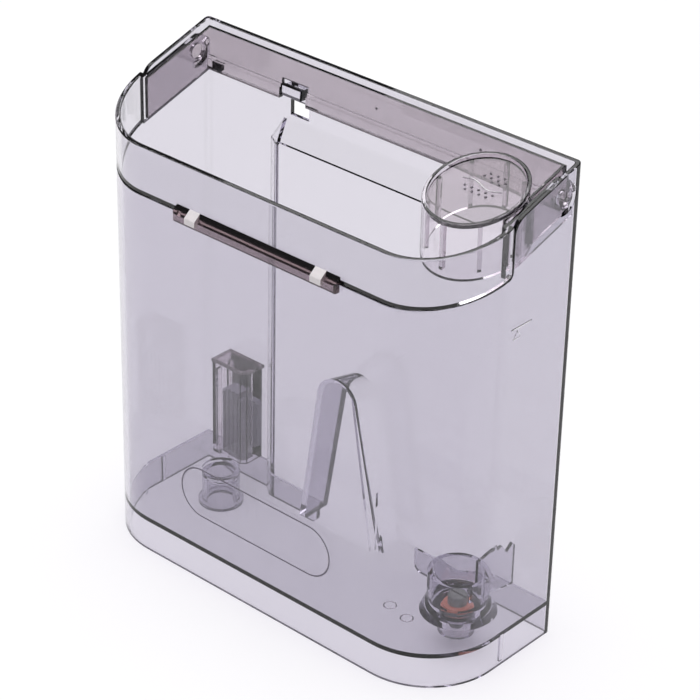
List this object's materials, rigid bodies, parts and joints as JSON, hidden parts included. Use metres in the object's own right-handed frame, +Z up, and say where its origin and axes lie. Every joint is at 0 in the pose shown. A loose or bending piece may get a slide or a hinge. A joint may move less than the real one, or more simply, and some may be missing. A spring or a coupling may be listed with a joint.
{
  "type": "removable water tank",
  "caption": "Removable clear water tank for a drinks machine, with a swing-up front handle, a capped filter collar, a caged float and a sprung outlet valve in a raised floor.",
  "frame": {"origin": "centre of the bottom of the overall box, under the skirt, finger bar included", "axes": "+Z up, +X to the right seen from the rounded front, +Y towards the flat back that meets the machine"},
  "size_m": [0.1822, 0.071, 0.1998],
  "materials": {
    "tank_body": "clear, moulded, lightly smoked",
    "inner_frame": "clear, moulded",
    "filter_cap": "clear, moulded",
    "handle_bail": "clear, moulded",
    "grip_bar": "smoked, moulded",
    "grip_pad_left": "frosted",
    "grip_pad_right": "frosted",
    "float_cage": "clear, moulded",
    "cage_lid": "clear, moulded",
    "float_body": "moulded, closed cell",
    "float_magnet": "coated ferrite",
    "seal_retainer": "clear, moulded",
    "valve_seal": "orange silicone",
    "valve_plunger": "grey, moulded",
    "plunger_foot": "grey, moulded",
    "valve_guide": "grey, moulded",
    "valve_spring": "stainless wire"
  },
  "bodies": {
    "tank": {"tank_body": "tank_body", "inner_frame": "inner_frame", "filter_cap": "filter_cap", "float_cage": "float_cage", "cage_lid": "cage_lid", "seal_retainer": "seal_retainer", "valve_seal": "valve_seal", "valve_guide": "valve_guide", "valve_spring": "valve_spring"},
    "handle": {"handle_bail": "handle_bail", "grip_bar": "grip_bar", "grip_pad_left": "grip_pad_left", "grip_pad_right": "grip_pad_right"},
    "float": {"float_body": "float_body", "float_magnet": "float_magnet"},
    "plunger": {"valve_plunger": "valve_plunger", "plunger_foot": "plunger_foot"}
  },
  "joints": [
    {"name": "handle_lift", "type": "hinge", "parent": "tank", "child": "handle", "pos_m": [0, 0.02595, 0.1886], "axis": [-1, 0, 0], "range_deg": [0, 105]},
    {"name": "float_rise", "type": "slide", "parent": "tank", "child": "float", "axis": [0, 0, 1], "range_m": [0, 0.011]},
    {"name": "valve_lift", "type": "slide", "parent": "tank", "child": "plunger", "axis": [0, 0, 1], "range_m": [0, 0.002], "stiffness_N_per_m": 300, "springref_m": -0.003, "deforming": ["valve_spring"]}
  ]
}
